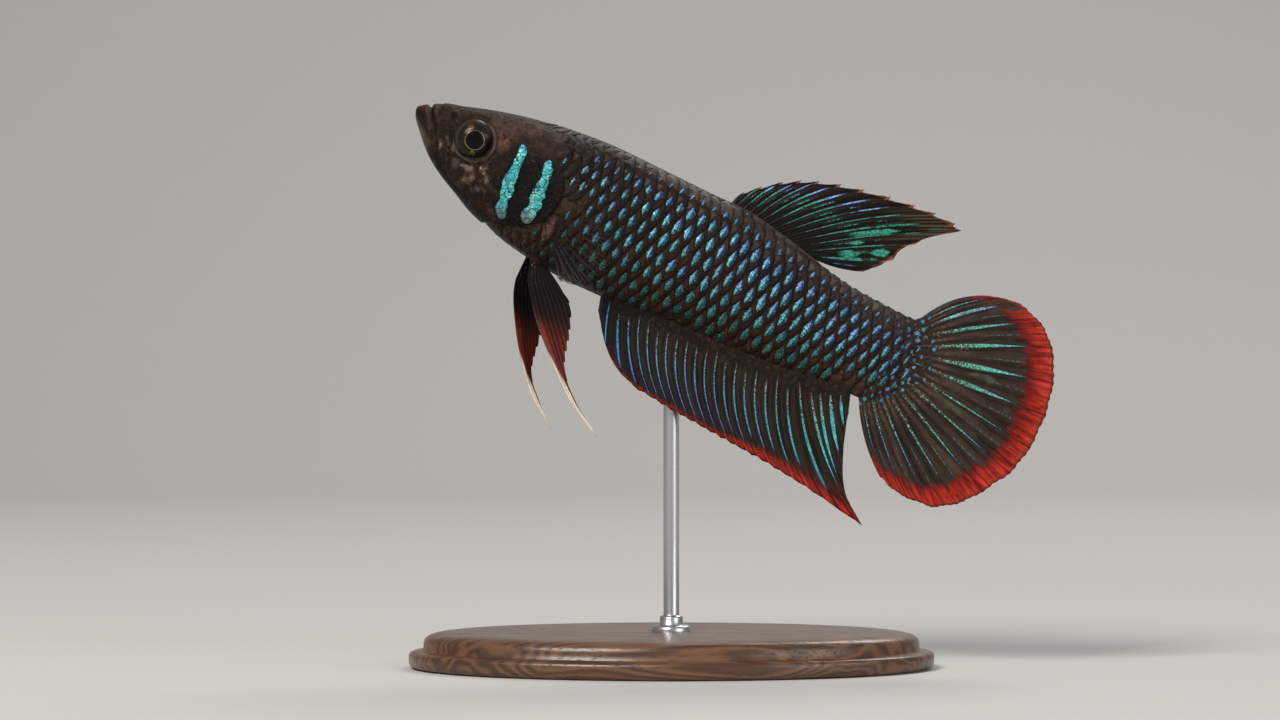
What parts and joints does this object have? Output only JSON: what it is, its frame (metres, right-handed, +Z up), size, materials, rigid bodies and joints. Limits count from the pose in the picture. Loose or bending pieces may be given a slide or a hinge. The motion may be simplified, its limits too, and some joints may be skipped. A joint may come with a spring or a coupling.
{
  "type": "betta fish",
  "caption": "Life-size still model of a male betta fish, nose-up, with spread fins, on a plain oval base with one rod.",
  "frame": {"origin": "centre of the underside of the stand's base, on the surface it stands on", "axes": "+X level, from the fish's head towards its tail; +Y towards the fish's right side; +Z up"},
  "size_m": [0.0567, 0.03, 0.0495],
  "materials": {
    "dark_skin": "moist dark brown skin",
    "scaled_flank": "dark scales with blue-green metallic bars",
    "gill_cover": "near-black with turquoise metallic bars",
    "eye": "clear wet gloss over a dark iris",
    "fin_membrane": "thin brown membrane, green rays, red margin",
    "red_fin": "dark brown to red, pale tips",
    "smoky_fin": "smoky clear membrane with fine rays",
    "walnut": "satin oiled",
    "brushed_steel": "drawn and polished"
  },
  "bodies": {
    "root": {"head": "dark_skin", "lower_jaw": "dark_skin", "gill_cover_left": "gill_cover", "gill_cover_right": "gill_cover", "eye_left": "eye", "eye_right": "eye", "trunk": "scaled_flank", "tail_stalk": "scaled_flank", "dorsal_fin": "fin_membrane", "anal_fin": "fin_membrane", "caudal_fin": "fin_membrane", "pectoral_fin_left": "smoky_fin", "pectoral_fin_right": "smoky_fin", "pelvic_fin_left": "red_fin", "pelvic_fin_right": "red_fin", "stand_base": "walnut", "stand_rod": "brushed_steel"}
  },
  "joints": []
}
